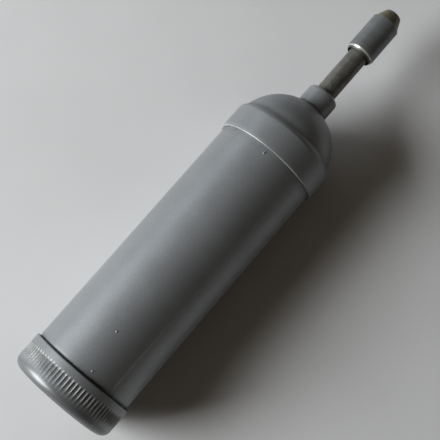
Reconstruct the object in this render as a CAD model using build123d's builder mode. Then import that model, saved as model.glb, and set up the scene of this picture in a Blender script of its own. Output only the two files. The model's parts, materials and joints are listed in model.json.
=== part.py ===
"""Small push-type hand grease gun, modelled in millimetres.

The gun lies along +X with its nozzle forward. Stations along its axis are measured from the closed
rear end of the cap. The origin is on the ground, under the middle of the gun's length.
"""

from build123d import *
from math import cos, radians, sin, sqrt, tan
import os

os.makedirs("parts", exist_ok=True)

# ---------------------------------------------------------------- driving dimensions (mm)
LENGTH = 190.5  # closed end of the cap to the tip of the nozzle
BARREL_R = 20.0
BARREL_WALL = 1.2
CAP_R = 21.0
CAP_LENGTH = 12.9
SKIRT_R = 21.0  # the head's skirt, pulled over the barrel
SKIRT_START = 113.2
SHEET = 1.0  # sheet thickness of the head
GLAND_R = 6.3
GLAND_END = 148.4
NOZZLE_R = 4.0
SLEEVE_R = 5.75
SLEEVE_START = 168.7
NOSE_START = 185.6
RUNNING_GAP = 0.05  # radial clearance of every sliding fit

# ---------------------------------------------------------------- frame
AXIS_HEIGHT = CAP_R
REAR_X = -LENGTH / 2
PROFILE = Plane(origin=(REAR_X, 0, AXIS_HEIGHT), x_dir=(1, 0, 0), z_dir=(0, -1, 0))
GUN_AXIS = Axis((REAR_X, 0, AXIS_HEIGHT), (1, 0, 0))


def ring(start, end, inner, outer, mode=Mode.ADD):
    """Turn a ring of rectangular section into the open part, between two stations."""
    with BuildSketch(PROFILE) as section:
        with Locations(((start + end) / 2, (inner + outer) / 2)):
            Rectangle(end - start, outer - inner)
    revolve(section.sketch, axis=GUN_AXIS, mode=mode)


def turned(points, mode=Mode.ADD):
    """Turn a straight-sided outline of (station, radius) points into the open part."""
    with BuildSketch(PROFILE) as section:
        with BuildLine():
            Polyline(*points, close=True)
        make_face()
    revolve(section.sketch, axis=GUN_AXIS, mode=mode)


def helix_path(start, end, radius, turns):
    """A right-hand helix about the gun's axis, between two stations."""
    return Helix(
        pitch=(end - start) / turns,
        height=end - start,
        radius=radius,
        center=(REAR_X + start, 0, AXIS_HEIGHT),
        direction=(1, 0, 0),
    )


def across(path):
    """The plane across a helix at its first point, with x pointing away from the gun's axis."""
    start = path @ 0
    outward = Vector(0, start.Y, start.Z - AXIS_HEIGHT)
    return Plane(origin=start, x_dir=outward, z_dir=path % 0)


def coil_spring(start, end, coil_radius, wire_radius, turns):
    """Wind a compression spring into the open part, between two stations."""
    with BuildLine() as winding:
        path = helix_path(start + wire_radius, end - wire_radius, coil_radius, turns)
    with BuildSketch(across(path)) as wire:
        Circle(wire_radius)
    sweep(wire.sketch, path=winding.line, is_frenet=True)


def save(builder, label):
    """Label a finished piece and write it as its own STEP file."""
    builder.part.label = label
    export_step(builder.part, f"parts/{label}.step")


# ---------------------------------------------------------------- thread between barrel and cap
THREAD_PITCH = 2.5
THREAD_DEPTH = 0.5
THREAD_CLEARANCE = 0.1  # radial, at root and at crest
THREAD_BASE = 1.5  # width of a ridge at its root
THREAD_CREST = 0.6
THREAD_START = 4.25
THREAD_END = 11.75
BURIED = 0.1  # depth by which a ridge enters the wall it stands on
NECK_STEP = 0.55  # depth by which the rolled neck lies under the barrel
BARREL_ROOT_R = BARREL_R - NECK_STEP
BARREL_CREST_R = BARREL_ROOT_R + THREAD_DEPTH
CAP_ROOT_R = BARREL_CREST_R + THREAD_CLEARANCE
CAP_CREST_R = BARREL_ROOT_R + THREAD_CLEARANCE


def thread_ridge(start, end, root_radius, depth):
    """Wind one thread ridge into the open part. A negative depth points it inward."""
    buried = BURIED if depth > 0 else -BURIED
    turns = (end - start) / THREAD_PITCH
    with BuildLine() as winding:
        path = helix_path(start, end, root_radius, turns)
    with BuildSketch(across(path)) as section:
        with BuildLine():
            Polyline(
                (-buried, -THREAD_BASE / 2),
                (depth, -THREAD_CREST / 2),
                (depth, THREAD_CREST / 2),
                (-buried, THREAD_BASE / 2),
                close=True,
            )
        make_face()
    sweep(section.sketch, path=winding.line, is_frenet=True)


# ---------------------------------------------------------------- barrel_tube
BARREL_START = 2.7
BARREL_END = 122.4
BARREL_BORE_R = BARREL_R - BARREL_WALL
NECK_END = 13.1  # the rolled neck that carries the thread
NECK_SHOULDER = 1.6  # length of the rounded step from the neck to the full barrel

with BuildPart() as barrel_tube:
    with BuildSketch(PROFILE) as wall:
        with BuildLine():
            Polyline(
                (NECK_END + NECK_SHOULDER, BARREL_R),
                (BARREL_END, BARREL_R),
                (BARREL_END, BARREL_BORE_R),
                (BARREL_START, BARREL_BORE_R),
                (BARREL_START, BARREL_ROOT_R),
                (NECK_END, BARREL_ROOT_R),
            )
            EllipticalCenterArc(
                (NECK_END + NECK_SHOULDER, BARREL_ROOT_R),
                NECK_SHOULDER,
                BARREL_R - BARREL_ROOT_R,
                start_angle=90,
                arc_size=90,
            )
        make_face()
    revolve(axis=GUN_AXIS)
    thread_ridge(THREAD_START, THREAD_END, BARREL_ROOT_R, THREAD_DEPTH)
save(barrel_tube, "barrel_tube")

# ---------------------------------------------------------------- head_shell
DOME_R = 19.9
DOME_CENTRE = 121.2
NOSE_FLAT = 140.0  # the flat that the gland nut seats on
SHOULDER_STATION = 123.5  # where the skirt's line meets the shoulder's slope
SHOULDER_SLOPE = radians(38)
SHOULDER_ROUND = 3.0
CREASE_ROUND = 4.0
STUB_R = 5.1
STUB_GAP = 0.05


def head_outline(inset):
    """Outline of the head between its skirt and its nose, moved inward by inset."""
    skirt_r = SKIRT_R - inset
    dome_r = DOME_R - inset
    nose = NOSE_FLAT - inset
    corner = SHOULDER_STATION - inset * tan(SHOULDER_SLOPE / 2)
    # The slope leaves (corner, skirt_r) and meets the dome after a run along the axis.
    lead = corner - DOME_CENTRE
    a = 1 + tan(SHOULDER_SLOPE) ** 2
    b = 2 * (lead - skirt_r * tan(SHOULDER_SLOPE))
    c = lead**2 + skirt_r**2 - dome_r**2
    run = (-b - sqrt(b**2 - 4 * a * c)) / (2 * a)
    crease = (corner + run, skirt_r - run * tan(SHOULDER_SLOPE))
    rim = (nose, sqrt(dome_r**2 - (nose - DOME_CENTRE) ** 2))
    middle_angle = radians(45)
    dome_middle = (
        DOME_CENTRE + dome_r * sin(middle_angle),
        dome_r * cos(middle_angle),
    )
    with BuildSketch(PROFILE) as outline:
        with BuildLine():
            Polyline((SKIRT_START, 0), (SKIRT_START, skirt_r), (corner, skirt_r), crease)
            ThreePointArc(crease, dome_middle, rim)
            Polyline(rim, (nose, 0), (SKIRT_START, 0))
        make_face()
        fillet(outline.vertices().sort_by_distance((corner, skirt_r))[0], SHOULDER_ROUND - inset)
        fillet(outline.vertices().sort_by_distance(crease)[0], CREASE_ROUND + inset)
    return outline.sketch


with BuildPart() as head_shell:
    revolve(head_outline(0), axis=GUN_AXIS)
    revolve(head_outline(SHEET), axis=GUN_AXIS, mode=Mode.SUBTRACT)
    ring(NOSE_FLAT - SHEET, NOSE_FLAT, 0, STUB_R + STUB_GAP, mode=Mode.SUBTRACT)
save(head_shell, "head_shell")

# ---------------------------------------------------------------- pump_cylinder
CYLINDER_R = 6.3
CYLINDER_BORE_R = 5.0
CYLINDER_START = 96.0
CYLINDER_SHOULDER = NOSE_FLAT - SHEET
GUIDE_START = 135.7
STUB_END = 146.0
GUIDE_R = NOZZLE_R + RUNNING_GAP
PORT_R = 1.2
PORT_STATION = 121.5

with BuildPart() as pump_cylinder:
    turned(
        (
            (CYLINDER_START, CYLINDER_BORE_R),
            (CYLINDER_START, CYLINDER_R),
            (CYLINDER_SHOULDER, CYLINDER_R),
            (CYLINDER_SHOULDER, STUB_R),
            (STUB_END, STUB_R),
            (STUB_END, GUIDE_R),
            (GUIDE_START, GUIDE_R),
            (GUIDE_START, CYLINDER_BORE_R),
        )
    )
    # Two cross drillings are the four grease inlets.
    with Locations((REAR_X + PORT_STATION, 0, AXIS_HEIGHT)):
        Cylinder(PORT_R, 3 * CYLINDER_R, mode=Mode.SUBTRACT)
        Cylinder(PORT_R, 3 * CYLINDER_R, rotation=(90, 0, 0), mode=Mode.SUBTRACT)
save(pump_cylinder, "pump_cylinder")

# ---------------------------------------------------------------- cylinder_plug
PLUG_END = 98.5
PLUG_FLANGE_START = 94.8
SLOT_WIDTH = 1.2
SLOT_DEPTH = 0.7

with BuildPart() as cylinder_plug:
    ring(PLUG_FLANGE_START, CYLINDER_START, 0, CYLINDER_R)
    ring(CYLINDER_START, PLUG_END, 0, CYLINDER_BORE_R)
    with Locations((REAR_X + PLUG_FLANGE_START, 0, AXIS_HEIGHT)):
        Box(2 * SLOT_DEPTH, SLOT_WIDTH, 3 * CYLINDER_R, mode=Mode.SUBTRACT)
save(cylinder_plug, "cylinder_plug")

# ---------------------------------------------------------------- gland_nut and gland_packing
PACKING_END = 147.4
PACKING_R = STUB_R
GLAND_ROUND = 1.5
GLAND_BORE_GAP = 0.1
GLAND_BORE_R = NOZZLE_R + GLAND_BORE_GAP

with BuildPart() as gland_nut:
    with BuildSketch(PROFILE) as section:
        with BuildLine():
            Polyline(
                (NOSE_FLAT, STUB_R),
                (NOSE_FLAT, GLAND_R),
                (GLAND_END - GLAND_ROUND, GLAND_R),
            )
            JernArc((GLAND_END - GLAND_ROUND, GLAND_R), (1, 0), GLAND_ROUND, -90)
            Polyline(
                (GLAND_END, GLAND_R - GLAND_ROUND),
                (GLAND_END, GLAND_BORE_R),
                (PACKING_END, GLAND_BORE_R),
                (PACKING_END, STUB_R),
                (NOSE_FLAT, STUB_R),
            )
        make_face()
    revolve(axis=GUN_AXIS)
save(gland_nut, "gland_nut")

with BuildPart() as gland_packing:
    ring(STUB_END, PACKING_END, GUIDE_R, PACKING_R)
save(gland_packing, "gland_packing")

# ---------------------------------------------------------------- nozzle_tube
TUBE_START = 131.0
TUBE_END = 178.0
TUBE_BORE_R = 2.3

with BuildPart() as nozzle_tube:
    ring(TUBE_START, TUBE_END, TUBE_BORE_R, NOZZLE_R)
save(nozzle_tube, "nozzle_tube")

# ---------------------------------------------------------------- plunger_head and plunger_seal
PLUNGER_R = CYLINDER_BORE_R - RUNNING_GAP
PLUNGER_START = 124.0
PLUNGER_END = 135.5
SPRING_RECESS_END = 127.0
SPRING_RECESS_R = 3.95
VALVE_SEAT_R = 1.2
SEAL_START = 128.2
SEAL_END = 130.0
SEAL_INNER_R = 4.0
SEAL_GAP = 0.02
SEAL_R = CYLINDER_BORE_R - SEAL_GAP

with BuildPart() as plunger_head:
    ring(PLUNGER_START, PLUNGER_END, VALVE_SEAT_R, PLUNGER_R)
    ring(PLUNGER_START, SPRING_RECESS_END, 0, SPRING_RECESS_R, mode=Mode.SUBTRACT)
    ring(TUBE_START, PLUNGER_END, 0, NOZZLE_R, mode=Mode.SUBTRACT)
    ring(SEAL_START, SEAL_END, SEAL_INNER_R, CYLINDER_R, mode=Mode.SUBTRACT)
save(plunger_head, "plunger_head")

with BuildPart() as plunger_seal:
    ring(SEAL_START, SEAL_END, SEAL_INNER_R, SEAL_R)
save(plunger_seal, "plunger_seal")

# ---------------------------------------------------------------- return_spring
with BuildPart() as return_spring:
    coil_spring(PLUG_END, SPRING_RECESS_END, coil_radius=3.35, wire_radius=0.45, turns=8)
save(return_spring, "return_spring")

# ---------------------------------------------------------------- check valve in the nozzle tube
BALL_R = 1.75
SEAT_GAP = 0.02
BALL_STATION = TUBE_START + sqrt(BALL_R**2 - VALVE_SEAT_R**2) + SEAT_GAP
CHECK_COIL_R = 1.45
CHECK_WIRE_R = 0.2
RETAINER_START = 141.0
RETAINER_END = 143.0
RETAINER_HOLE_R = 1.0

with BuildPart() as check_ball:
    with Locations((REAR_X + BALL_STATION, 0, AXIS_HEIGHT)):
        Sphere(BALL_R)
save(check_ball, "check_ball")

with BuildPart() as check_spring:
    coil_spring(
        BALL_STATION + sqrt((BALL_R + CHECK_WIRE_R) ** 2 - CHECK_COIL_R**2) - CHECK_WIRE_R,
        RETAINER_START,
        coil_radius=CHECK_COIL_R,
        wire_radius=CHECK_WIRE_R,
        turns=7,
    )
save(check_spring, "check_spring")

with BuildPart() as valve_retainer:
    ring(RETAINER_START, RETAINER_END, RETAINER_HOLE_R, TUBE_BORE_R)
save(valve_retainer, "valve_retainer")

# ---------------------------------------------------------------- coupler_sleeve
BEVEL_LENGTH = 1.5
BEVEL_INNER_R = 4.95
SLEEVE_RECESS_R = 4.75
SLEEVE_RECESS_END = 171.2
SHANK_R = 4.7
SLEEVE_EDGE = 0.2

with BuildPart() as coupler_sleeve:
    turned(
        (
            (SLEEVE_START, SLEEVE_RECESS_R),
            (SLEEVE_START, BEVEL_INNER_R),
            (SLEEVE_START + BEVEL_LENGTH, SLEEVE_R),
            (NOSE_START - SLEEVE_EDGE, SLEEVE_R),
            (NOSE_START, SLEEVE_R - SLEEVE_EDGE),
            (NOSE_START, SHANK_R),
            (TUBE_END, SHANK_R),
            (TUBE_END, NOZZLE_R),
            (SLEEVE_RECESS_END, NOZZLE_R),
            (SLEEVE_RECESS_END, SLEEVE_RECESS_R),
        )
    )
save(coupler_sleeve, "coupler_sleeve")

# ---------------------------------------------------------------- nose_seal and coupler_nose
NOSE_SEAL_END = 179.0
PASSAGE_R = 1.25
NOSE_BASE_R = 5.45
NOSE_TIP_R = 3.45
NOSE_EDGE = 0.15
MOUTH_R = 2.6
MOUTH_DEPTH = 2.0
MOUTH_CONE = 1.6  # length of the cone between the mouth and the passage

with BuildPart() as nose_seal:
    ring(TUBE_END, NOSE_SEAL_END, PASSAGE_R, SHANK_R)
save(nose_seal, "nose_seal")

with BuildPart() as coupler_nose:
    turned(
        (
            (NOSE_SEAL_END, PASSAGE_R),
            (NOSE_SEAL_END, SHANK_R),
            (NOSE_START, SHANK_R),
            (NOSE_START, NOSE_BASE_R),
            (LENGTH - NOSE_EDGE, NOSE_TIP_R),
            (LENGTH, NOSE_TIP_R - NOSE_EDGE),
            (LENGTH, MOUTH_R),
            (LENGTH - MOUTH_DEPTH, MOUTH_R),
            (LENGTH - MOUTH_DEPTH - MOUTH_CONE, PASSAGE_R),
        )
    )
save(coupler_nose, "coupler_nose")

# ---------------------------------------------------------------- follower: dish, cup, disc, rivet
DISH_R = 16.8
DISH_RIM_R = 15.7
DISH_RIM_START = 84.4
DISH_START = 88.4
CUP_START = 89.8
CUP_BASE_END = 91.8
CUP_LIP_END = 99.0
CUP_GAP = 0.1
CUP_R = BARREL_BORE_R - CUP_GAP
CUP_LIP = 1.6
DISC_GAP = 0.2
DISC_R = CUP_R - CUP_LIP - DISC_GAP
DISC_END = 93.0
RIVET_R = 2.0
RIVET_HEAD_R = 3.6
RIVET_HEAD = 1.2

with BuildPart() as follower_dish:
    ring(DISH_START, CUP_START, RIVET_R, DISH_R)
    ring(DISH_RIM_START, DISH_START, DISH_RIM_R, DISH_R)
save(follower_dish, "follower_dish")

with BuildPart() as follower_cup:
    ring(CUP_START, CUP_BASE_END, RIVET_R, CUP_R)
    ring(CUP_BASE_END, CUP_LIP_END, CUP_R - CUP_LIP, CUP_R)
save(follower_cup, "follower_cup")

with BuildPart() as follower_disc:
    ring(CUP_BASE_END, DISC_END, RIVET_R, DISC_R)
save(follower_disc, "follower_disc")

with BuildPart() as follower_rivet:
    ring(DISH_START, DISC_END, 0, RIVET_R)
    ring(DISH_START - RIVET_HEAD, DISH_START, 0, RIVET_HEAD_R)
    ring(DISC_END, DISC_END + RIVET_HEAD, 0, RIVET_HEAD_R)
save(follower_rivet, "follower_rivet")

# ---------------------------------------------------------------- rear_cap
CAP_END_WALL = 1.2
CAP_EDGE = 3.4  # radius of the rounded edge at the closed end
CAP_CORNER = 0.8
CAP_MOUTH_EDGE = 0.3
CAP_RIDGE_START = THREAD_START + THREAD_PITCH / 2
VENT_R = 1.0
KNURL_START = 3.9
KNURL_END = 9.9
KNURL_COUNT = 84
KNURL_GROOVE_R = 0.7
KNURL_DEPTH = 0.3
KNURL_LENGTH = KNURL_END - KNURL_START

# One knurl groove's cutter: a round bar with ball ends, standing along Z.
with BuildPart() as knurl_cutter:
    Cylinder(KNURL_GROOVE_R, KNURL_LENGTH - 2 * KNURL_GROOVE_R)
    with Locations(
        (0, 0, KNURL_LENGTH / 2 - KNURL_GROOVE_R),
        (0, 0, KNURL_GROOVE_R - KNURL_LENGTH / 2),
    ):
        Sphere(KNURL_GROOVE_R)

KNURL_PLANE = Plane(
    origin=(REAR_X + (KNURL_START + KNURL_END) / 2, 0, AXIS_HEIGHT),
    x_dir=(0, 1, 0),
    z_dir=(1, 0, 0),
)

with BuildPart(KNURL_PLANE) as rear_cap:
    with BuildSketch(PROFILE) as shell:
        with BuildLine():
            Polyline(
                (0, VENT_R),
                (0, CAP_R - CAP_EDGE),
            )
            JernArc((0, CAP_R - CAP_EDGE), (0, 1), CAP_EDGE, -90)
            Polyline(
                (CAP_EDGE, CAP_R),
                (CAP_LENGTH - CAP_MOUTH_EDGE, CAP_R),
                (CAP_LENGTH, CAP_R - CAP_MOUTH_EDGE),
                (CAP_LENGTH, CAP_ROOT_R + CAP_MOUTH_EDGE),
                (CAP_LENGTH - CAP_MOUTH_EDGE, CAP_ROOT_R),
                (CAP_END_WALL + CAP_CORNER, CAP_ROOT_R),
            )
            JernArc((CAP_END_WALL + CAP_CORNER, CAP_ROOT_R), (-1, 0), CAP_CORNER, 90)
            Polyline(
                (CAP_END_WALL, CAP_ROOT_R - CAP_CORNER),
                (CAP_END_WALL, VENT_R),
                (0, VENT_R),
            )
        make_face()
    revolve(axis=GUN_AXIS)
    thread_ridge(CAP_RIDGE_START, THREAD_END, CAP_ROOT_R, -THREAD_DEPTH)
    with PolarLocations(CAP_R + KNURL_GROOVE_R - KNURL_DEPTH, KNURL_COUNT):
        add(knurl_cutter.part, mode=Mode.SUBTRACT)
save(rear_cap, "rear_cap")

# ---------------------------------------------------------------- cap_gasket and spring_seat
CAP_INNER_GAP = 0.05
GASKET_INNER_R = 17.6
GASKET_R = CAP_ROOT_R - CAP_CORNER - CAP_INNER_GAP
SEAT_SHEET = 1.0
SEAT_START = CAP_END_WALL + CAP_INNER_GAP
SEAT_END = SEAT_START + SEAT_SHEET
SEAT_R = 17.4
SEAT_BOSS_R = 13.0
SEAT_BOSS_END = 5.0

with BuildPart() as cap_gasket:
    ring(CAP_END_WALL, BARREL_START, GASKET_INNER_R, GASKET_R)
save(cap_gasket, "cap_gasket")

with BuildPart() as spring_seat:
    ring(SEAT_START, SEAT_END, 0, SEAT_R)
    ring(SEAT_END, SEAT_BOSS_END, SEAT_BOSS_R - SEAT_SHEET, SEAT_BOSS_R)
save(spring_seat, "spring_seat")

# ---------------------------------------------------------------- follower_spring
with BuildPart() as follower_spring:
    coil_spring(SEAT_END, DISH_START, coil_radius=14.3, wire_radius=0.8, turns=11)
save(follower_spring, "follower_spring")
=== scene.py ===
"""Looks of a small push-type grease gun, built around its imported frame.

Scene units are metres. The pieces are turned about the gun's axis from outlines in millimetres,
given as (station, radius), with stations measured from the closed end of the cap.
"""

import json
import math
import random

import bmesh
import bpy
import numpy as np
from mathutils import Matrix, Vector


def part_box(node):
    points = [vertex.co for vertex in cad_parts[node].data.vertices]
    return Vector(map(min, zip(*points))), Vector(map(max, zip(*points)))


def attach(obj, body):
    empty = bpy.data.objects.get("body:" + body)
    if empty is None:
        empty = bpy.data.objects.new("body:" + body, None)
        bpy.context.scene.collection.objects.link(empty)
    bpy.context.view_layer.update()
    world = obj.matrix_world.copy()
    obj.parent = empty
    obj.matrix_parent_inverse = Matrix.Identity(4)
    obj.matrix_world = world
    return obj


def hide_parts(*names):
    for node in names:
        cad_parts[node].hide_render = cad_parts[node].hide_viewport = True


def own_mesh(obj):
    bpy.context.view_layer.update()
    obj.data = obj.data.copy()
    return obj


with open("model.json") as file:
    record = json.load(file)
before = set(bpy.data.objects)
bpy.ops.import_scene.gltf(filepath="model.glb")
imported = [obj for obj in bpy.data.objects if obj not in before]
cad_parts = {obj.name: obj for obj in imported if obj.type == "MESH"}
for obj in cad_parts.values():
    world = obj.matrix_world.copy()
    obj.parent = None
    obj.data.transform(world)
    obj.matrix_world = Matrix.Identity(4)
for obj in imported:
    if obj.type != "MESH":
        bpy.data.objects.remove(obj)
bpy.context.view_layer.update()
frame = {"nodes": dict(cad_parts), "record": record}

MM = 0.001
FULL_TURN = 2 * math.pi
QUARTER = math.pi / 2
ON_WALL = 0.05  # mm within which a radius counts as lying on a wall

# ------------------------------------------------------------------ places, read from the frame
cap_low, cap_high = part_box("rear_cap")
REAR_X = cap_low.x
AXIS_Z = (cap_low.z + cap_high.z) / 2


def span(node):
    """(first station, last station, outer radius) of a CAD node, in mm."""
    low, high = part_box(node)
    return (low.x - REAR_X) / MM, (high.x - REAR_X) / MM, (high.y - low.y) / 2 / MM


def place(station, radius, angle):
    """The point at a station and radius; angle is from straight up towards +Y."""
    return Vector(
        (
            REAR_X + station * MM,
            radius * MM * math.sin(angle),
            AXIS_Z + radius * MM * math.cos(angle),
        )
    )


# ------------------------------------------------------------------ turned meshes
def add_object(name, data):
    item = bpy.data.objects.new(name, data)
    bpy.context.scene.collection.objects.link(item)
    return item


def face_outward(mesh):
    """Turns every face of a closed mesh outward and shades it smooth."""
    shell = bmesh.new()
    shell.from_mesh(mesh)
    bmesh.ops.recalc_face_normals(shell, faces=shell.faces)
    shell.to_mesh(mesh)
    shell.free()
    mesh.shade_smooth()


def rounded(corners, steps=6):
    """A closed outline whose (station, radius, round) corners are rounded off by arcs."""
    outline = []
    for index, (station, radius, size) in enumerate(corners):
        corner = Vector((station, radius))
        if size == 0:
            outline.append(corner)
            continue
        back = (Vector(corners[index - 1][:2]) - corner).normalized()
        ahead = (Vector(corners[(index + 1) % len(corners)][:2]) - corner).normalized()
        half = back.angle(ahead) / 2
        centre = corner + (back + ahead).normalized() * (size / math.sin(half))
        first = corner + back * (size / math.tan(half)) - centre
        last = corner + ahead * (size / math.tan(half)) - centre
        turn = first.angle_signed(last)
        for step in range(steps + 1):
            outline.append(centre + Matrix.Rotation(-turn * step / steps, 2) @ first)
    return outline


def divided(outline, length, fine=()):
    """The outline with its long sides cut up. fine lists (from, to, inner, outer, length) zones."""
    result = []
    for index, point in enumerate(outline):
        following = outline[(index + 1) % len(outline)]
        middle = (point + following) / 2
        limit = length
        for start, end, inner, outer, zone_length in fine:
            if start < middle.x < end and inner < middle.y < outer:
                limit = zone_length
        cuts = max(1, math.ceil((following - point).length / limit))
        for cut in range(cuts):
            result.append(point.lerp(following, cut / cuts))
    return result


def turned(name, outline, segments, relief=None, marks=None):
    """A mesh turned about the gun's axis. relief adds to the radius and marks makes attributes.

    Both are functions of arrays of station, radius and angle, in mm and radians.
    """
    angles = np.linspace(0, FULL_TURN, segments, endpoint=False)
    stations, turn = np.meshgrid([p.x for p in outline], angles, indexing="ij")
    radii = np.repeat(np.array([[p.y] for p in outline]), segments, axis=1)
    masks = marks(stations, radii, turn) if marks else {}
    if relief:
        radii = radii + relief(stations, radii, turn)
    corners = np.stack(
        [
            REAR_X + stations * MM,
            radii * MM * np.sin(turn),
            AXIS_Z + radii * MM * np.cos(turn),
        ],
        axis=-1,
    ).reshape(-1, 3)
    rows = len(outline)
    faces = []
    for row in range(rows):
        below = row * segments
        above = (row + 1) % rows * segments
        for column in range(segments):
            beside = (column + 1) % segments
            faces.append((below + column, below + beside, above + beside, above + column))
    mesh = bpy.data.meshes.new(name)
    mesh.from_pydata(corners.tolist(), [], faces)
    for label, values in masks.items():
        layer = mesh.attributes.new(label, "FLOAT", "POINT")
        layer.data.foreach_set("value", values.astype(np.float32).ravel())
    face_outward(mesh)
    mesh.set_sharp_from_angle(angle=math.radians(50))
    return add_object(name, mesh)


def ramp_up(values, start, end):
    """0 below start, 1 above end, smooth between."""
    share = np.clip((values - start) / (end - start), 0, 1)
    return share * share * (3 - 2 * share)


def ramp_down(values, start, end):
    """1 below start, 0 above end, smooth between."""
    return 1 - ramp_up(values, start, end)


def angle_from(turn, centre):
    """Angles measured from a centre angle, from minus half a turn to half a turn."""
    return (turn - centre + math.pi) % FULL_TURN - math.pi


# ------------------------------------------------------------------ material nodes
def grey(value):
    return (value, value, value)


class Surface:
    """A Principled material and the short forms used to wire it."""

    def __init__(self, name, **settings):
        self.material = bpy.data.materials.new(name)
        self.material.use_nodes = True
        self.tree = self.material.node_tree
        self.tree.nodes.clear()
        self.shader = self.tree.nodes.new("ShaderNodeBsdfPrincipled")
        output = self.tree.nodes.new("ShaderNodeOutputMaterial")
        self.tree.links.new(self.shader.outputs["BSDF"], output.inputs["Surface"])
        for label, value in settings.items():
            self.shader.inputs[label.replace("_", " ")].default_value = value
        self.place = self.tree.nodes.new("ShaderNodeTexCoord").outputs["Object"]

    def link(self, source, target):
        self.tree.links.new(source, target)

    def stretched(self, x, y, z):
        """The place on the object, scaled along each axis."""
        node = self.tree.nodes.new("ShaderNodeMapping")
        node.inputs["Scale"].default_value = (x, y, z)
        self.link(self.place, node.inputs["Vector"])
        return node.outputs["Vector"]

    def noise(self, scale, detail=4.0, roughness=0.5, distortion=0.0, at=None):
        node = self.tree.nodes.new("ShaderNodeTexNoise")
        node.inputs["Scale"].default_value = scale
        node.inputs["Detail"].default_value = detail
        node.inputs["Roughness"].default_value = roughness
        node.inputs["Distortion"].default_value = distortion
        self.link(at or self.place, node.inputs["Vector"])
        return node.outputs["Fac"]

    def cells(self, scale):
        node = self.tree.nodes.new("ShaderNodeTexVoronoi")
        node.inputs["Scale"].default_value = scale
        self.link(self.place, node.inputs["Vector"])
        return node.outputs["Distance"]

    def mark(self, label):
        node = self.tree.nodes.new("ShaderNodeAttribute")
        node.attribute_name = label
        return node.outputs["Fac"]

    def stops(self, fac, *stops):
        """A ramp of (position, value) or (position, (r, g, b)) stops."""
        node = self.tree.nodes.new("ShaderNodeValToRGB")
        elements = node.color_ramp.elements
        while len(elements) < len(stops):
            elements.new(0.5)
        for element, (position, colour) in zip(elements, stops):
            element.position = position
            channels = colour if isinstance(colour, tuple) else (colour,) * 3
            element.color = (*channels, 1.0)
        self.link(fac, node.inputs["Fac"])
        return node.outputs["Color"]

    def product(self, first, second):
        node = self.tree.nodes.new("ShaderNodeMath")
        node.operation = "MULTIPLY"
        for socket, value in zip(node.inputs, (first, second)):
            if isinstance(value, (int, float)):
                socket.default_value = value
            else:
                self.link(value, socket)
        return node.outputs["Value"]

    def blend(self, fac, first, second, kind="MIX"):
        node = self.tree.nodes.new("ShaderNodeMix")
        node.data_type = "RGBA"
        node.blend_type = kind
        for index, value in ((0, fac), (6, first), (7, second)):
            socket = node.inputs[index]
            if isinstance(value, tuple):
                socket.default_value = (*value, 1.0)
            elif isinstance(value, (int, float)):
                socket.default_value = value
            else:
                self.link(value, socket)
        return node.outputs[2]

    def bump(self, height, strength, depth_mm):
        """Adds a bump to whatever bump the shader has already."""
        node = self.tree.nodes.new("ShaderNodeBump")
        node.inputs["Strength"].default_value = strength
        node.inputs["Distance"].default_value = depth_mm * MM
        self.link(height, node.inputs["Height"])
        normal = self.shader.inputs["Normal"]
        if normal.links:
            self.link(normal.links[0].from_socket, node.inputs["Normal"])
        self.link(node.outputs["Normal"], normal)

    def colour(self, source):
        self.link(source, self.shader.inputs["Base Color"])

    def gloss(self, source):
        self.link(source, self.shader.inputs["Roughness"])


def silver_paint():
    """Silver-grey enamel: fine flake and slight orange peel.

    Dust and painted shade lie in its hollows, in the head's crease and in the rings beside the
    parts it meets. Bare steel shows where the paint is worn and also serves as a painted highlight
    on the skirt's lip and on the knurl's gripped patch. Oil darkens it where the cap is held.
    """
    # The first colour is dirt and painted shade; the second is bare steel and painted highlight.
    dust_and_shade, bare_steel_and_highlight, oil = (0.030, 0.029, 0.026), (0.66, 0.65, 0.62), (0.075, 0.076, 0.074)
    paint = Surface("silver_paint", Metallic=0.45, Coat_Weight=0.12, Coat_Roughness=0.3)
    flake = paint.stops(
        paint.noise(2600, 2),
        (0.35, (0.264, 0.277, 0.289)),
        (0.68, (0.308, 0.322, 0.333)),
    )
    cloud = paint.stops(paint.noise(38, 5, 0.6), (0.32, 0.88), (0.7, 1.0))
    base = paint.blend(1.0, flake, cloud, "MULTIPLY")
    mottle = paint.stops(paint.noise(330, 5, 0.65), (0.35, 0.45), (0.6, 0.85))
    dust_and_shade_share = paint.product(paint.mark("grime_and_shade"), mottle)
    base = paint.blend(dust_and_shade_share, base, dust_and_shade)
    chipped = paint.stops(paint.noise(420, 6, 0.7), (0.34, 0.25), (0.52, 1.0))
    edge = paint.product(paint.mark("wear_and_highlight"), chipped)
    base = paint.blend(edge, base, bare_steel_and_highlight)
    oily = paint.product(paint.mark("oiled"), 0.6)
    paint.colour(paint.blend(oily, base, oil))
    rough = paint.stops(paint.noise(90, 6, 0.65), (0.3, 0.40), (0.72, 0.50))
    rough = paint.blend(paint.mark("grime_and_shade"), rough, grey(0.65))
    paint.gloss(paint.blend(paint.mark("oiled"), rough, grey(0.38)))
    paint.bump(paint.noise(620, 3, 0.45), 0.14, 0.05)
    paint.bump(paint.noise(70, 3, 0.5), 0.16, 0.12)
    return paint.material


def dark_tube_steel():
    """Oiled dark steel with lengthwise rubbing marks from the packing."""
    steel = Surface("dark_tube_steel", Metallic=0.6)
    mottle = steel.stops(
        steel.noise(240, 6, 0.65, 0.4),
        (0.3, (0.130, 0.120, 0.098)),
        (0.5, (0.200, 0.196, 0.178)),
        (0.72, (0.270, 0.268, 0.250)),
    )
    lengthwise = steel.noise(60, 5, 0.6, at=steel.stretched(1.2, 34, 34))
    rubs = steel.stops(lengthwise, (0.42, 0.72), (0.62, 1.0))
    steel.colour(steel.blend(1.0, mottle, rubs, "MULTIPLY"))
    steel.gloss(steel.stops(steel.noise(150, 5, 0.6), (0.3, 0.36), (0.7, 0.52)))
    steel.bump(steel.noise(60, 5, 0.6, at=steel.stretched(1.2, 40, 40)), 0.15, 0.02)
    return steel.material


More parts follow.
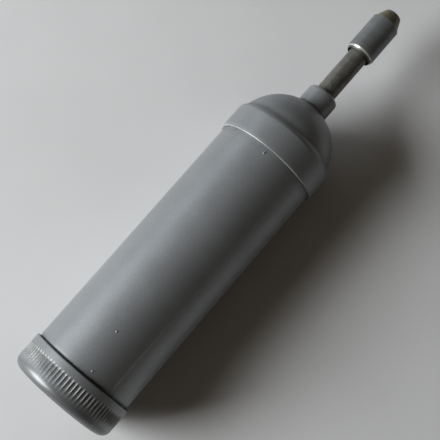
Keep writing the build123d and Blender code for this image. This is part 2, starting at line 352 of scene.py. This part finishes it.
def sleeve_steel():
    """Turned dark steel with a bright band on its bevel and front edge, partly polish and partly a
    painted highlight, and painted shade in its recess.
    """
    steel = Surface("sleeve_steel", Metallic=0.6)
    body = steel.stops(
        steel.noise(160, 5, 0.6),
        (0.3, (0.185, 0.195, 0.198)),
        (0.7, (0.255, 0.268, 0.272)),
    )
    turning = steel.noise(55, 3, 0.5, at=steel.stretched(60, 1, 1))
    body = steel.blend(1.0, body, steel.stops(turning, (0.35, 0.85), (0.65, 1.0)), "MULTIPLY")
    # The first colour is grease and painted shade; the second is polish and painted highlight.
    grease_and_shade, polished_and_highlight = (0.020, 0.019, 0.016), (0.74, 0.71, 0.62)
    body = steel.blend(steel.mark("grime_and_shade"), body, grease_and_shade)
    steel.colour(steel.blend(steel.mark("wear_and_highlight"), body, polished_and_highlight))
    rough = steel.stops(steel.noise(190, 4, 0.6), (0.3, 0.38), (0.7, 0.50))
    steel.gloss(steel.blend(steel.mark("wear_and_highlight"), rough, grey(0.22)))
    steel.bump(turning, 0.2, 0.02)
    return steel.material


def black_tip_steel():
    """Heat-blackened steel with an oily olive cast, rubbed at its rim."""
    steel = Surface("black_tip_steel", Metallic=0.45)
    body = steel.stops(
        steel.noise(210, 5, 0.6),
        (0.3, (0.135, 0.127, 0.086)),
        (0.7, (0.270, 0.256, 0.182)),
    )
    speckle = steel.stops(steel.noise(500, 5, 0.7), (0.4, 0.0), (0.6, 1.0))
    rubbed_steel = (0.30, 0.29, 0.25)
    steel.colour(steel.blend(steel.product(steel.mark("wear_and_highlight"), speckle), body, rubbed_steel))
    steel.gloss(steel.stops(steel.noise(160, 4, 0.5), (0.3, 0.34), (0.7, 0.5)))
    steel.bump(steel.noise(700, 3, 0.5), 0.15, 0.02)
    return steel.material


def bright_steel():
    """Machined steel with fine turning rings."""
    steel = Surface("bright_steel", Metallic=1.0)
    rings = steel.noise(70, 3, 0.5, at=steel.stretched(80, 1, 1))
    steel.colour(steel.stops(rings, (0.3, (0.42, 0.42, 0.43)), (0.7, (0.60, 0.60, 0.60))))
    steel.gloss(steel.stops(steel.noise(130, 4, 0.6), (0.3, 0.20), (0.7, 0.36)))
    steel.bump(rings, 0.25, 0.02)
    return steel.material


def spring_wire():
    """Drawn spring wire under a film of grease."""
    steel = Surface("spring_wire", Metallic=0.95, Coat_Weight=0.4, Coat_Roughness=0.12)
    film = steel.noise(180, 5, 0.6)
    steel.colour(steel.stops(film, (0.3, (0.24, 0.22, 0.18)), (0.7, (0.46, 0.44, 0.40))))
    steel.gloss(steel.stops(steel.noise(300, 3, 0.5), (0.3, 0.25), (0.7, 0.42)))
    steel.bump(steel.noise(900, 2, 0.5), 0.15, 0.01)
    return steel.material


def zinc_plate():
    """Zinc-plated pressed steel with its faint yellow passivation."""
    steel = Surface("zinc_plate", Metallic=0.95)
    steel.colour(
        steel.stops(
            steel.noise(75, 5, 0.6, 1.2),
            (0.3, (0.46, 0.43, 0.34)),
            (0.55, (0.58, 0.56, 0.50)),
            (0.75, (0.52, 0.53, 0.54)),
        )
    )
    steel.gloss(steel.stops(steel.cells(260), (0.1, 0.26), (0.7, 0.42)))
    steel.bump(steel.noise(500, 3, 0.5), 0.12, 0.02)
    return steel.material


def black_rubber():
    """Matt moulded rubber."""
    rubber = Surface("black_rubber")
    bloom = rubber.noise(240, 4, 0.6)
    rubber.colour(rubber.stops(bloom, (0.3, grey(0.012)), (0.7, (0.030, 0.029, 0.028))))
    rubber.gloss(rubber.stops(rubber.noise(160, 4, 0.5), (0.3, 0.42), (0.7, 0.62)))
    rubber.bump(rubber.noise(1200, 3, 0.5), 0.3, 0.02)
    return rubber.material


def greased_leather():
    """Brown leather soaked with grease, with a fine grain."""
    leather = Surface("greased_leather", Coat_Weight=0.35, Coat_Roughness=0.2)
    grain = leather.cells(900)
    stain = leather.noise(90, 6, 0.65)
    leather.colour(
        leather.stops(stain, (0.3, (0.105, 0.052, 0.022)), (0.7, (0.235, 0.130, 0.060)))
    )
    leather.gloss(leather.stops(grain, (0.1, 0.34), (0.6, 0.58)))
    leather.bump(grain, 0.5, 0.05)
    return leather.material


def red_fibre():
    """Vulcanised fibre with its matted strands."""
    fibre = Surface("red_fibre")
    strands = fibre.noise(420, 6, 0.7, 0.6)
    fibre.colour(fibre.stops(strands, (0.3, (0.20, 0.030, 0.018)), (0.7, (0.34, 0.062, 0.038))))
    fibre.gloss(fibre.stops(strands, (0.3, 0.5), (0.7, 0.7)))
    fibre.bump(strands, 0.3, 0.03)
    return fibre.material


FINISHES = {
    "painted_steel": silver_paint(),
    "dark_steel": dark_tube_steel(),
    "sleeve_steel": sleeve_steel(),
    "black_steel": black_tip_steel(),
    "bright_steel": bright_steel(),
    "spring_steel": spring_wire(),
    "plated_steel": zinc_plate(),
    "seal_rubber": black_rubber(),
    "cup_leather": greased_leather(),
    "fibre": red_fibre(),
}
NODE_SLOTS = {entry["node"]: entry["material_slot"] for entry in frame["record"]["subparts"]}
BODY_OF = {
    node: body
    for body, nodes in frame["record"]["behaviour"]["bodies"].items()
    for node in nodes
}


replaced = set()


def stand_for(piece, node):
    """The piece replaces a CAD node, rides on its body and takes its finish."""
    slot = NODE_SLOTS[node]
    replaced.add(node)
    piece.data.materials.append(FINISHES[slot])
    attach(piece, BODY_OF[node])
    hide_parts(node)


# ------------------------------------------------------------------ dimensions shared with the CAD
THREAD_PITCH = 2.5
THREAD_BASE = 1.5
THREAD_CREST = 0.6
THREAD_DEPTH = 0.5
THREAD_START = 4.25
THREAD_END = 11.75
THREAD_CLEARANCE = 0.1
THREAD_RUNOUT = 0.3  # length over which a ridge rises at its ends
NECK_END = 13.1
NECK_SHOULDER = 1.6  # length of the rounded step from the neck to the full barrel
NECK_STEP = 0.55  # depth by which the neck lies under the barrel
BARREL_WALL = 1.2
SHEET = 1.0  # sheet thickness of the head

BARREL_START, BARREL_END, BARREL_R = span("barrel_tube")
CAP_START, CAP_END, CAP_R = span("rear_cap")
HEAD_START, HEAD_END, SKIRT_R = span("head_shell")
_, TUBE_END, TUBE_R = span("nozzle_tube")
BARREL_ROOT_R = BARREL_R - NECK_STEP
BARREL_BORE_R = BARREL_R - BARREL_WALL
CAP_ROOT_R = BARREL_ROOT_R + THREAD_DEPTH + THREAD_CLEARANCE


def thread_ridge(stations, turn, start, end):
    """Height from 0 to 1 of a right-hand thread ridge that leaves start pointing straight up."""
    # The ridge climbs the axis while the angle, seen along +X, turns from +Y to +Z.
    lead = (-turn / FULL_TURN) % 1.0
    phase = ((stations - start) / THREAD_PITCH - lead) % 1.0
    distance = np.minimum(phase, 1 - phase) * THREAD_PITCH
    flank = THREAD_BASE / 2 - THREAD_CREST / 2
    height = np.clip((THREAD_BASE / 2 - distance) / flank, 0, 1)
    rise = ramp_up(stations, start - THREAD_RUNOUT, start + THREAD_RUNOUT)
    return height * (rise * ramp_down(stations, end - THREAD_RUNOUT, end + THREAD_RUNOUT))


# ------------------------------------------------------------------ screw cap
CAP_END_WALL = 1.2
CAP_EDGE = 3.4  # radius of the rounded edge at the closed end
CAP_OUTSIDE = CAP_R - 0.5  # radii above this belong to the cap's outside
VENT_R = 1.0
KNURL_START = 3.6
KNURL_END = 10.0
KNURL_FULL = KNURL_END - 2.6  # the grooves reach their full depth here
KNURL_RISE = 0.8  # length of their run-in, before KNURL_START
KNURL_DEPTH = 0.3
DENT_DEPTH = 0.22
RIDGES = 84
CAP_SEGMENTS = RIDGES * 8
KNURL_TURN = 2 * (FULL_TURN / CAP_SEGMENTS)  # whole segments, so that crests fall on vertices
CRUSHED_ANGLE, CRUSHED_ARC = math.radians(47), 0.26
CRUSHED_STATION, CRUSHED_LENGTH = 5.9, 1.9


def cap_outline():
    outline = rounded(
        [
            (CAP_START, VENT_R, 0.25),
            (CAP_START, CAP_R, CAP_EDGE),
            (CAP_END, CAP_R, 0.45),
            (CAP_END, CAP_ROOT_R, 0.3),
            (CAP_END_WALL, CAP_ROOT_R, 0.8),
            (CAP_END_WALL, VENT_R, 0.25),
        ],
        steps=8,
    )
    knurl_zone = (KNURL_START - KNURL_RISE, KNURL_END + 0.3, CAP_R - 0.3, CAP_R + 0.1, 0.25)
    thread_zone = (CAP_END_WALL + 1, CAP_END - 0.5, CAP_ROOT_R - 0.1, CAP_ROOT_R + 0.1, 0.3)
    return divided(outline, 1.6, fine=[knurl_zone, thread_zone])


def groove_wave(turn):
    """0 on the crest of a ridge and 1 in the bottom of a groove."""
    return np.abs(np.sin((turn - KNURL_TURN) * RIDGES / 2))


def groove_depth(stations, radii, turn):
    """Rolled grooves, shallow at the closed end and deepest towards the mouth."""
    fade = ramp_up(stations, KNURL_START - KNURL_RISE, KNURL_FULL)
    fade *= ramp_down(stations, KNURL_END - 0.9, KNURL_END + 0.1)
    return (radii > CAP_OUTSIDE) * fade * groove_wave(turn) ** 0.7


def crushed_and_highlit(stations, radii, turn):
    """0 to 1 in the patch where the knurl has been gripped and dented, on its lit side."""
    across = angle_from(turn, CRUSHED_ANGLE) / CRUSHED_ARC
    along = (stations - CRUSHED_STATION) / CRUSHED_LENGTH
    ripple = np.sin(97 * turn + 1.9 * stations)
    lumps = 0.5 + 0.5 * ripple * np.sin(41 * turn - 2.7 * stations + 1)
    return np.exp(-(across**2) - along**2) * lumps * (radii > CAP_OUTSIDE)


def cap_relief(stations, radii, turn):
    inside = np.abs(radii - CAP_ROOT_R) < ON_WALL
    thread = thread_ridge(stations, turn, THREAD_START + THREAD_PITCH / 2, THREAD_END)
    knurl = KNURL_DEPTH * groove_depth(stations, radii, turn)
    dents = DENT_DEPTH * crushed_and_highlit(stations, radii, turn)
    return -np.maximum(knurl, dents) - THREAD_DEPTH * inside * thread


def cap_marks(stations, radii, turn):
    outside = radii > CAP_OUTSIDE
    crest = (1 - groove_wave(turn)) ** 3
    knurled = ramp_up(stations, KNURL_START, KNURL_FULL) * (stations < KNURL_END + 0.05)
    groove = outside * knurled * groove_wave(turn)
    edge_end = CAP_START + CAP_EDGE
    edge_reach = np.hypot(stations - CAP_START - CAP_EDGE, radii - (CAP_R - CAP_EDGE))
    on_edge = (stations < edge_end) * (edge_reach > CAP_EDGE - 0.3)
    on_edge = on_edge + (stations >= edge_end) * outside
    band = outside * ramp_up(stations, KNURL_END - 0.3, KNURL_END + 0.6)
    mouth = ramp_up(stations, CAP_END - 0.5, CAP_END - 0.15) * (radii > CAP_ROOT_R + 0.4)
    inner = (radii < CAP_ROOT_R + 0.2) * (stations > CAP_END_WALL - 0.2)
    worn_crest = outside * 0.55 * crest * knurled
    return {
        # The gripped patch's bare steel is also a painted highlight on the lit side of the knurl.
        "wear_and_highlight": worn_crest + 0.25 * mouth + 0.45 * crushed_and_highlit(stations, radii, turn),
        # The knurl's grooves are darkened by dirt and also by painted shade in them.
        "grime_and_shade": np.clip(groove * 0.8 + 0.35 * inner + 0.12 * band, 0, 1),
        "oiled": ramp_down(stations, 2.4, 4.4) * on_edge,
    }


def screw_cap():
    piece = turned("cap_shell", cap_outline(), CAP_SEGMENTS, cap_relief, cap_marks)
    stand_for(piece, "rear_cap")


# ------------------------------------------------------------------ barrel
SEAM_ANGLE = math.radians(-43)
NECK_ARC_STEPS = 12


def barrel_outline():
    outline = [
        Vector((BARREL_START, BARREL_BORE_R)),
        Vector((BARREL_START, BARREL_ROOT_R)),
        Vector((NECK_END, BARREL_ROOT_R)),
    ]
    for step in range(1, NECK_ARC_STEPS + 1):
        swing = QUARTER * step / NECK_ARC_STEPS
        station = NECK_END + NECK_SHOULDER * (1 - math.cos(swing))
        radius = BARREL_ROOT_R + (BARREL_R - BARREL_ROOT_R) * math.sin(swing)
        outline.append(Vector((station, radius)))
    outline.append(Vector((BARREL_END, BARREL_R)))
    outline.append(Vector((BARREL_END, BARREL_BORE_R)))
    thread_zone = (BARREL_START, NECK_END, BARREL_ROOT_R - 0.1, BARREL_ROOT_R + 0.1, 0.25)
    return divided(outline, 2.5, fine=[thread_zone])


def seam_line(turn, width):
    """1 on the tube's weld seam, falling to 0 beside it."""
    return np.exp(-((angle_from(turn, SEAM_ANGLE) * BARREL_R / width) ** 2))


def barrel_relief(stations, radii, turn):
    thread = thread_ridge(stations, turn, THREAD_START, THREAD_END)
    neck = (np.abs(radii - BARREL_ROOT_R) < ON_WALL) * (stations < NECK_END)
    outside = ramp_up(stations, NECK_END + 1, NECK_END + 8) * (radii > BARREL_R - ON_WALL)
    seam = seam_line(turn, 0.35) * 0.05
    sway = 0.018 * np.sin(2 * turn + stations / 23) + 0.012 * np.sin(3 * turn - stations / 11)
    return THREAD_DEPTH * neck * thread + outside * (seam + sway - 0.03)


def barrel_marks(stations, radii, turn):
    neck = (stations < NECK_END) * (radii > BARREL_BORE_R + 0.1)
    bore = radii < BARREL_BORE_R + 0.1
    # Painted shade: the barrel is darkened beside the cap's mouth, which dims the shoulder's
    # highlight, and where it runs under the skirt.
    beside_cap = ramp_up(stations, NECK_END - 1, NECK_END)
    beside_cap = beside_cap * ramp_down(stations, NECK_END + 0.3, NECK_END + 1.9)
    beside_skirt = ramp_up(stations, HEAD_START - 1.2, HEAD_START)
    grime_and_shade = 0.5 * neck + 0.5 * bore + 0.7 * beside_cap + 0.5 * beside_skirt
    seam = seam_line(turn, 0.3) * (radii > BARREL_R - 0.1)
    seam = seam * ramp_up(stations, 15, 17) * ramp_down(stations, 30, 52)
    return {"wear_and_highlight": 0.28 * neck + 0.45 * seam, "grime_and_shade": np.clip(grime_and_shade, 0, 1)}


def barrel():
    piece = turned("barrel_shell", barrel_outline(), 360, barrel_relief, barrel_marks)
    stand_for(piece, "barrel_tube")


# ------------------------------------------------------------------ domed head
DOME_R = 19.9
DOME_CENTRE = 121.2
DOME_STEPS = 40
SHOULDER_STATION = 123.5  # where the skirt's line meets the shoulder's slope
SHOULDER_SLOPE = math.radians(38)
SHOULDER_ROUND = 3.0
CREASE_ROUND = 4.0
CREASE_STATION = 125.6
NOSE_HOLE_R = 5.15
LIP_ROUND = 0.22
LIP_STEPS = 8


def head_line(inset):
    """The head's line from the skirt's edge to the nose, moved inward by inset."""
    top, dome = SKIRT_R - inset, DOME_R - inset
    corner = SHOULDER_STATION - inset * math.tan(SHOULDER_SLOPE / 2)
    # The slope leaves (corner, top) and meets the dome after a run along the axis.
    lead = corner - DOME_CENTRE
    a = 1 + math.tan(SHOULDER_SLOPE) ** 2
    b = 2 * (lead - top * math.tan(SHOULDER_SLOPE))
    c = lead**2 + top**2 - dome**2
    run = (-b - math.sqrt(b * b - 4 * a * c)) / (2 * a)
    crease = (corner + run, top - run * math.tan(SHOULDER_SLOPE))
    lean = math.asin((crease[0] - DOME_CENTRE) / dome)
    tangent = (crease[0] + math.cos(lean), crease[1] - math.sin(lean))
    crease_round = CREASE_ROUND + inset
    corners = [
        (HEAD_START, top, 0),
        (corner, top, SHOULDER_ROUND - inset),
        (*crease, crease_round),
        (*tangent, 0),
    ]
    line = rounded(corners, steps=14)[:-1]
    first = lean + crease_round * math.tan((SHOULDER_SLOPE - lean) / 2) / dome
    last = math.asin((HEAD_END - inset - DOME_CENTRE) / dome)
    for step in range(1, DOME_STEPS + 1):
        at = first + (last - first) * step / DOME_STEPS
        line.append(Vector((DOME_CENTRE + dome * math.sin(at), dome * math.cos(at))))
    line.append(Vector((HEAD_END - inset, NOSE_HOLE_R)))
    return line


def skirt_lip():
    """The rounded outer edge of the skirt, from its rim to its side."""
    lip = []
    for step in range(LIP_STEPS, -1, -1):
        swing = QUARTER * step / LIP_STEPS
        station = HEAD_START + LIP_ROUND * (1 - math.sin(swing))
        lip.append(Vector((station, SKIRT_R - LIP_ROUND * (1 - math.cos(swing)))))
    return lip


def head_relief(stations, radii, turn):
    outside = radii > SKIRT_R - 0.01
    sway = 0.02 * np.sin(2 * turn + 1.1) + 0.015 * np.sin(5 * turn)
    return outside * (sway - 0.035)


def head_marks(stations, radii, turn):
    lip_zone = ramp_down(stations, HEAD_START + 0.08, HEAD_START + 0.3)
    # Painted shade: the shoulder's crease and the ring where the gland nut sits on the dome are
    # darkened.
    crease_zone = np.exp(-(((stations - CREASE_STATION) / 1.1) ** 2)) * (radii > 18.2)
    root = ramp_up(stations, HEAD_END - 0.9, HEAD_END - 0.1)
    inside = (radii < SKIRT_R - 0.6) * (stations < 122)
    # The lip's bare steel is strongest towards +Y and fades round the far side: partly worn paint,
    # partly a painted highlight on the lit side.
    rubbed = 0.32 + 0.3 * np.sin(turn + 0.6) + 0.06 * np.sin(7 * turn)
    return {
        "wear_and_highlight": np.clip(rubbed * lip_zone * (radii > SKIRT_R - 0.24), 0, 1),
        "grime_and_shade": np.clip(0.3 * crease_zone + 0.8 * root + 0.8 * inside, 0, 1),
    }


def head():
    line = skirt_lip() + head_line(0)[1:] + head_line(SHEET)[::-1]
    outline = divided(line, 1.6, fine=[(122, 128, 15, 22, 0.3)])
    piece = turned("head_shell_painted", outline, 288, head_relief, head_marks)
    stand_for(piece, "head_shell")


# ------------------------------------------------------------------ gland nut
def gland():
    start, end, radius = span("gland_nut")
    stub_r, bore_r, wall = 5.1, 4.1, 1.0
    outline = rounded(
        [
            (start, stub_r, 0.1),
            (start, radius, 0.3),
            (end, radius, 1.5),
            (end, bore_r, 0.15),
            (end - wall, bore_r, 0.1),
            (end - wall, stub_r, 0.1),
        ],
        steps=10,
    )
    outline = divided(outline, 0.8)

    def marks(stations, radii, turn):
        # Painted shade: the nut's root against the dome and its throat round the tube are darkened.
        root = ramp_down(stations, start + 0.1, start + 0.9)
        throat = ramp_up(stations, end - 0.2, end) * ramp_down(radii, bore_r + 0.1, bore_r + 0.6)
        return {
            "wear_and_highlight": 0.25 * ramp_up(stations, end - 1.2, end - 0.6),
            "grime_and_shade": np.clip(0.8 * root + 0.9 * throat, 0, 1),
        }

    piece = turned("gland_nut_painted", outline, 144, None, marks)
    stand_for(piece, "gland_nut")


# ------------------------------------------------------------------ nozzle
SHANK_R = 4.7  # the part of the tip that enters the sleeve


def nozzle():
    start, end, radius = span("nozzle_tube")
    bore_r = 2.3
    corners = [
        (start, bore_r, 0.1),
        (start, radius, 0.15),
        (end, radius, 0.15),
        (end, bore_r, 0.1),
    ]
    outline = divided(rounded(corners, steps=4), 1.5)

    def relief(stations, radii, turn):
        outside = radii > radius - 0.01
        return outside * (0.006 * np.sin(stations * 2.1 + turn) - 0.006)

    stand_for(turned("nozzle_tube_worn", outline, 128, relief), "nozzle_tube")


def sleeve():
    start, end, radius = span("coupler_sleeve")
    bevel, bevel_inner, recess_r, recess_depth = 1.5, 4.95, 4.75, 2.5
    outline = rounded(
        [
            (start, recess_r, 0.04),
            (start, bevel_inner, 0.05),
            (start + bevel, radius, 0.35),
            (end, radius, 0.22),
            (end, SHANK_R, 0.05),
            (TUBE_END, SHANK_R, 0.05),
            (TUBE_END, TUBE_R, 0.05),
            (start + recess_depth, TUBE_R, 0.05),
            (start + recess_depth, recess_r, 0.1),
        ]
    )
    bevel_zone = (start, start + bevel, recess_r, radius + 0.1, 0.1)
    outline = divided(outline, 0.8, fine=[bevel_zone])

    def marks(stations, radii, turn):
        outside = radii > recess_r + 0.05
        # The bright band on the bevel and the front edge are partly polish, partly a painted
        # highlight; the dull ring before the band and the recess are painted shade.
        bright = ramp_up(stations, start + 0.7, start + 0.85)
        bright = bright * ramp_down(stations, start + 1.0, start + 1.25)
        dull = ramp_down(stations, start + 0.5, start + 0.8) * outside
        front_edge = ramp_up(stations, end - 0.25, end - 0.1) * (radii > radius - 0.3)
        recess = (radii < recess_r + 0.1) * (stations < start + recess_depth + 0.2)
        return {
            "wear_and_highlight": np.clip(bright * outside + 0.7 * front_edge, 0, 1),
            "grime_and_shade": np.clip(recess + 0.7 * dull, 0, 1),
        }

    stand_for(turned("coupler_sleeve_turned", outline, 160, None, marks), "coupler_sleeve")


def tip():
    start, end, base_r = span("coupler_nose")
    passage_r, cone_r, mouth_r, mouth_depth, mouth_cone = 1.25, 3.45, 2.6, 2.0, 1.6
    nose_start = span("coupler_sleeve")[1]
    outline = rounded(
        [
            (start, passage_r, 0.05),
            (start, SHANK_R, 0.1),
            (nose_start, SHANK_R, 0.02),
            (nose_start, base_r, 0.12),
            (end, cone_r - 0.05, 0.3),
            (end, mouth_r, 0.12),
            (end - mouth_depth, mouth_r, 0.1),
            (end - mouth_depth - mouth_cone, passage_r, 0.2),
        ]
    )
    outline = divided(outline, 0.8)

    def marks(stations, radii, turn):
        return {"wear_and_highlight": 0.7 * ramp_up(stations, end - 0.5, end - 0.1)}

    stand_for(turned("coupler_tip_black", outline, 128, None, marks), "coupler_nose")


def spring(name, node):
    """A copy of a CAD coil spring, riding on its body with its finish.
    """
    wound = frame["nodes"][node]
    piece = add_object(name, wound.data.copy())
    piece.matrix_world = wound.matrix_world
    piece.data.materials.clear()
    stand_for(piece, node)
    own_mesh(piece)


# ------------------------------------------------------------------ paint nibs
NIB_ROWS, NIB_COLUMNS = 8, 20
NIB_BED = 0.1  # depth by which a nib enters the barrel
NIBS = [  # station, angle in degrees, length, width, height
    (31.0, -7.0, 1.2, 1.0, 0.22),
    (15.9, -14.4, 1.3, 1.0, 0.22),
    (111.2, -0.9, 2.2, 1.0, 0.24),
    (101.8, 56.0, 1.2, 1.2, 0.2),
    (19.0, 47.0, 1.0, 0.9, 0.2),
]


def nib_corners(station, angle, length, width, height, seed):
    """Points in rows from the nib's foot to its top, then the top itself."""
    chance = random.Random(seed)
    uneven = [chance.uniform(0.85, 1.1) for _ in range(NIB_COLUMNS)]
    bed = BARREL_R - NIB_BED
    corners = []
    for row in range(NIB_ROWS):
        share = 1 - row / NIB_ROWS
        lift = bed + (height + NIB_BED) * math.cos(QUARTER * share) ** 1.5
        for column in range(NIB_COLUMNS):
            around = FULL_TURN * column / NIB_COLUMNS
            reach = share * uneven[column]
            along = station + length / 2 * reach * math.cos(around)
            side = width / 2 * reach * math.sin(around)
            corners.append(place(along, lift, angle + side / BARREL_R))
    corners.append(place(station, bed + height + NIB_BED, angle))
    return corners


def nib_faces():
    top = NIB_ROWS * NIB_COLUMNS
    last_row = top - NIB_COLUMNS
    faces = [tuple(range(NIB_COLUMNS))]
    for column in range(NIB_COLUMNS):
        beside = (column + 1) % NIB_COLUMNS
        for row in range(0, last_row, NIB_COLUMNS):
            above = row + NIB_COLUMNS
            faces.append((row + column, row + beside, above + beside, above + column))
        faces.append((last_row + column, last_row + beside, top))
    return faces


def paint_nib(number, station, degrees, *size):
    """A hard speck caught in the paint: a small uneven mound, longer along the gun."""
    name = f"paint_nib_{number}"
    mesh = bpy.data.meshes.new(name)
    corners = nib_corners(station, math.radians(degrees), *size, seed=number)
    mesh.from_pydata(corners, [], nib_faces())
    face_outward(mesh)
    piece = add_object(name, mesh)
    piece.data.materials.append(FINISHES["painted_steel"])
    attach(piece, "barrel")


screw_cap()
barrel()
head()
gland()
nozzle()
sleeve()
tip()
spring("follower_coil", "follower_spring")
spring("return_coil", "return_spring")
spring("check_coil", "check_spring")
for number, nib in enumerate(NIBS):
    paint_nib(number, *nib)

# ------------------------------------------------------------------ CAD nodes that show as they are
for node, piece in frame["nodes"].items():
    if node in replaced:
        continue
    piece.data.materials.clear()
    piece.data.materials.append(FINISHES[NODE_SLOTS[node]])


# ------------------------------------------------------------------ floor
def floor():
    bpy.ops.mesh.primitive_plane_add(size=6.0, location=(0, 0, 0))
    ground = bpy.context.object
    ground.name = "floor"
    paper = Surface("pale_floor", Roughness=0.75)
    paper.colour(paper.stops(paper.noise(9, 4, 0.55), (0.3, grey(0.635)), (0.7, grey(0.695))))
    paper.bump(paper.noise(14, 3, 0.5), 0.1, 2.0)
    ground.data.materials.append(paper.material)


floor()


# ------------------------------------------------------------------ camera and light
def aim(item, location, target, up):
    """Puts an object at location, looking at target with up towards the top."""
    back = (Vector(location) - Vector(target)).normalized()
    right = Vector(up).cross(back).normalized()
    upward = back.cross(right)
    turn = Matrix((right, upward, back)).transposed().to_4x4()
    item.matrix_world = Matrix.Translation(location) @ turn


CAMERA_PLACE = Vector((-0.06711, -0.05026, AXIS_Z + 0.34206))
CAMERA_FORWARD = Vector((0.16544, 0.13986, -0.97625))
CAMERA_UP = (0.74443, 0.63176, 0.21613)
LIGHTS = [  # name, direction from the gun, distance, width, height, power, colour
    ("window", (-0.59, 0.66, 0.44), 1.25, 0.80, 0.80, 25.5, (0.965, 0.985, 1.0)),
    ("far_wall", (0.10, 0.90, 0.42), 1.3, 1.2, 0.5, 2.0, (0.85, 0.93, 1.0)),
]
ROOM_COLOUR = (1.0, 0.84, 0.64, 1.0)
ROOM_STRENGTH = 0.05


def camera():
    lens = bpy.data.cameras.new("camera")
    lens.sensor_width = 36.0
    lens.lens = 78.3
    lens.clip_start = 0.01
    holder = add_object("camera", lens)
    aim(holder, CAMERA_PLACE, CAMERA_PLACE + CAMERA_FORWARD, CAMERA_UP)
    bpy.context.scene.camera = holder


def softbox(name, direction, distance, width, height, power, colour):
    """A rectangular soft light in a direction from the gun, facing it."""
    light = bpy.data.lights.new(name, "AREA")
    light.shape = "RECTANGLE"
    light.size = width
    light.size_y = height
    light.energy = power
    light.color = colour
    target = Vector((0, 0, AXIS_Z))
    location = target + Vector(direction).normalized() * distance
    aim(add_object(name, light), location, target, (0, 0, 1))


def lights():
    for light in LIGHTS:
        softbox(*light)
    world = bpy.data.worlds.new("room")
    world.use_nodes = True
    background = world.node_tree.nodes["Background"]
    background.inputs["Color"].default_value = ROOM_COLOUR
    background.inputs["Strength"].default_value = ROOM_STRENGTH
    bpy.context.scene.world = world


camera()
lights()
bpy.context.scene.view_settings.view_transform = "Standard"
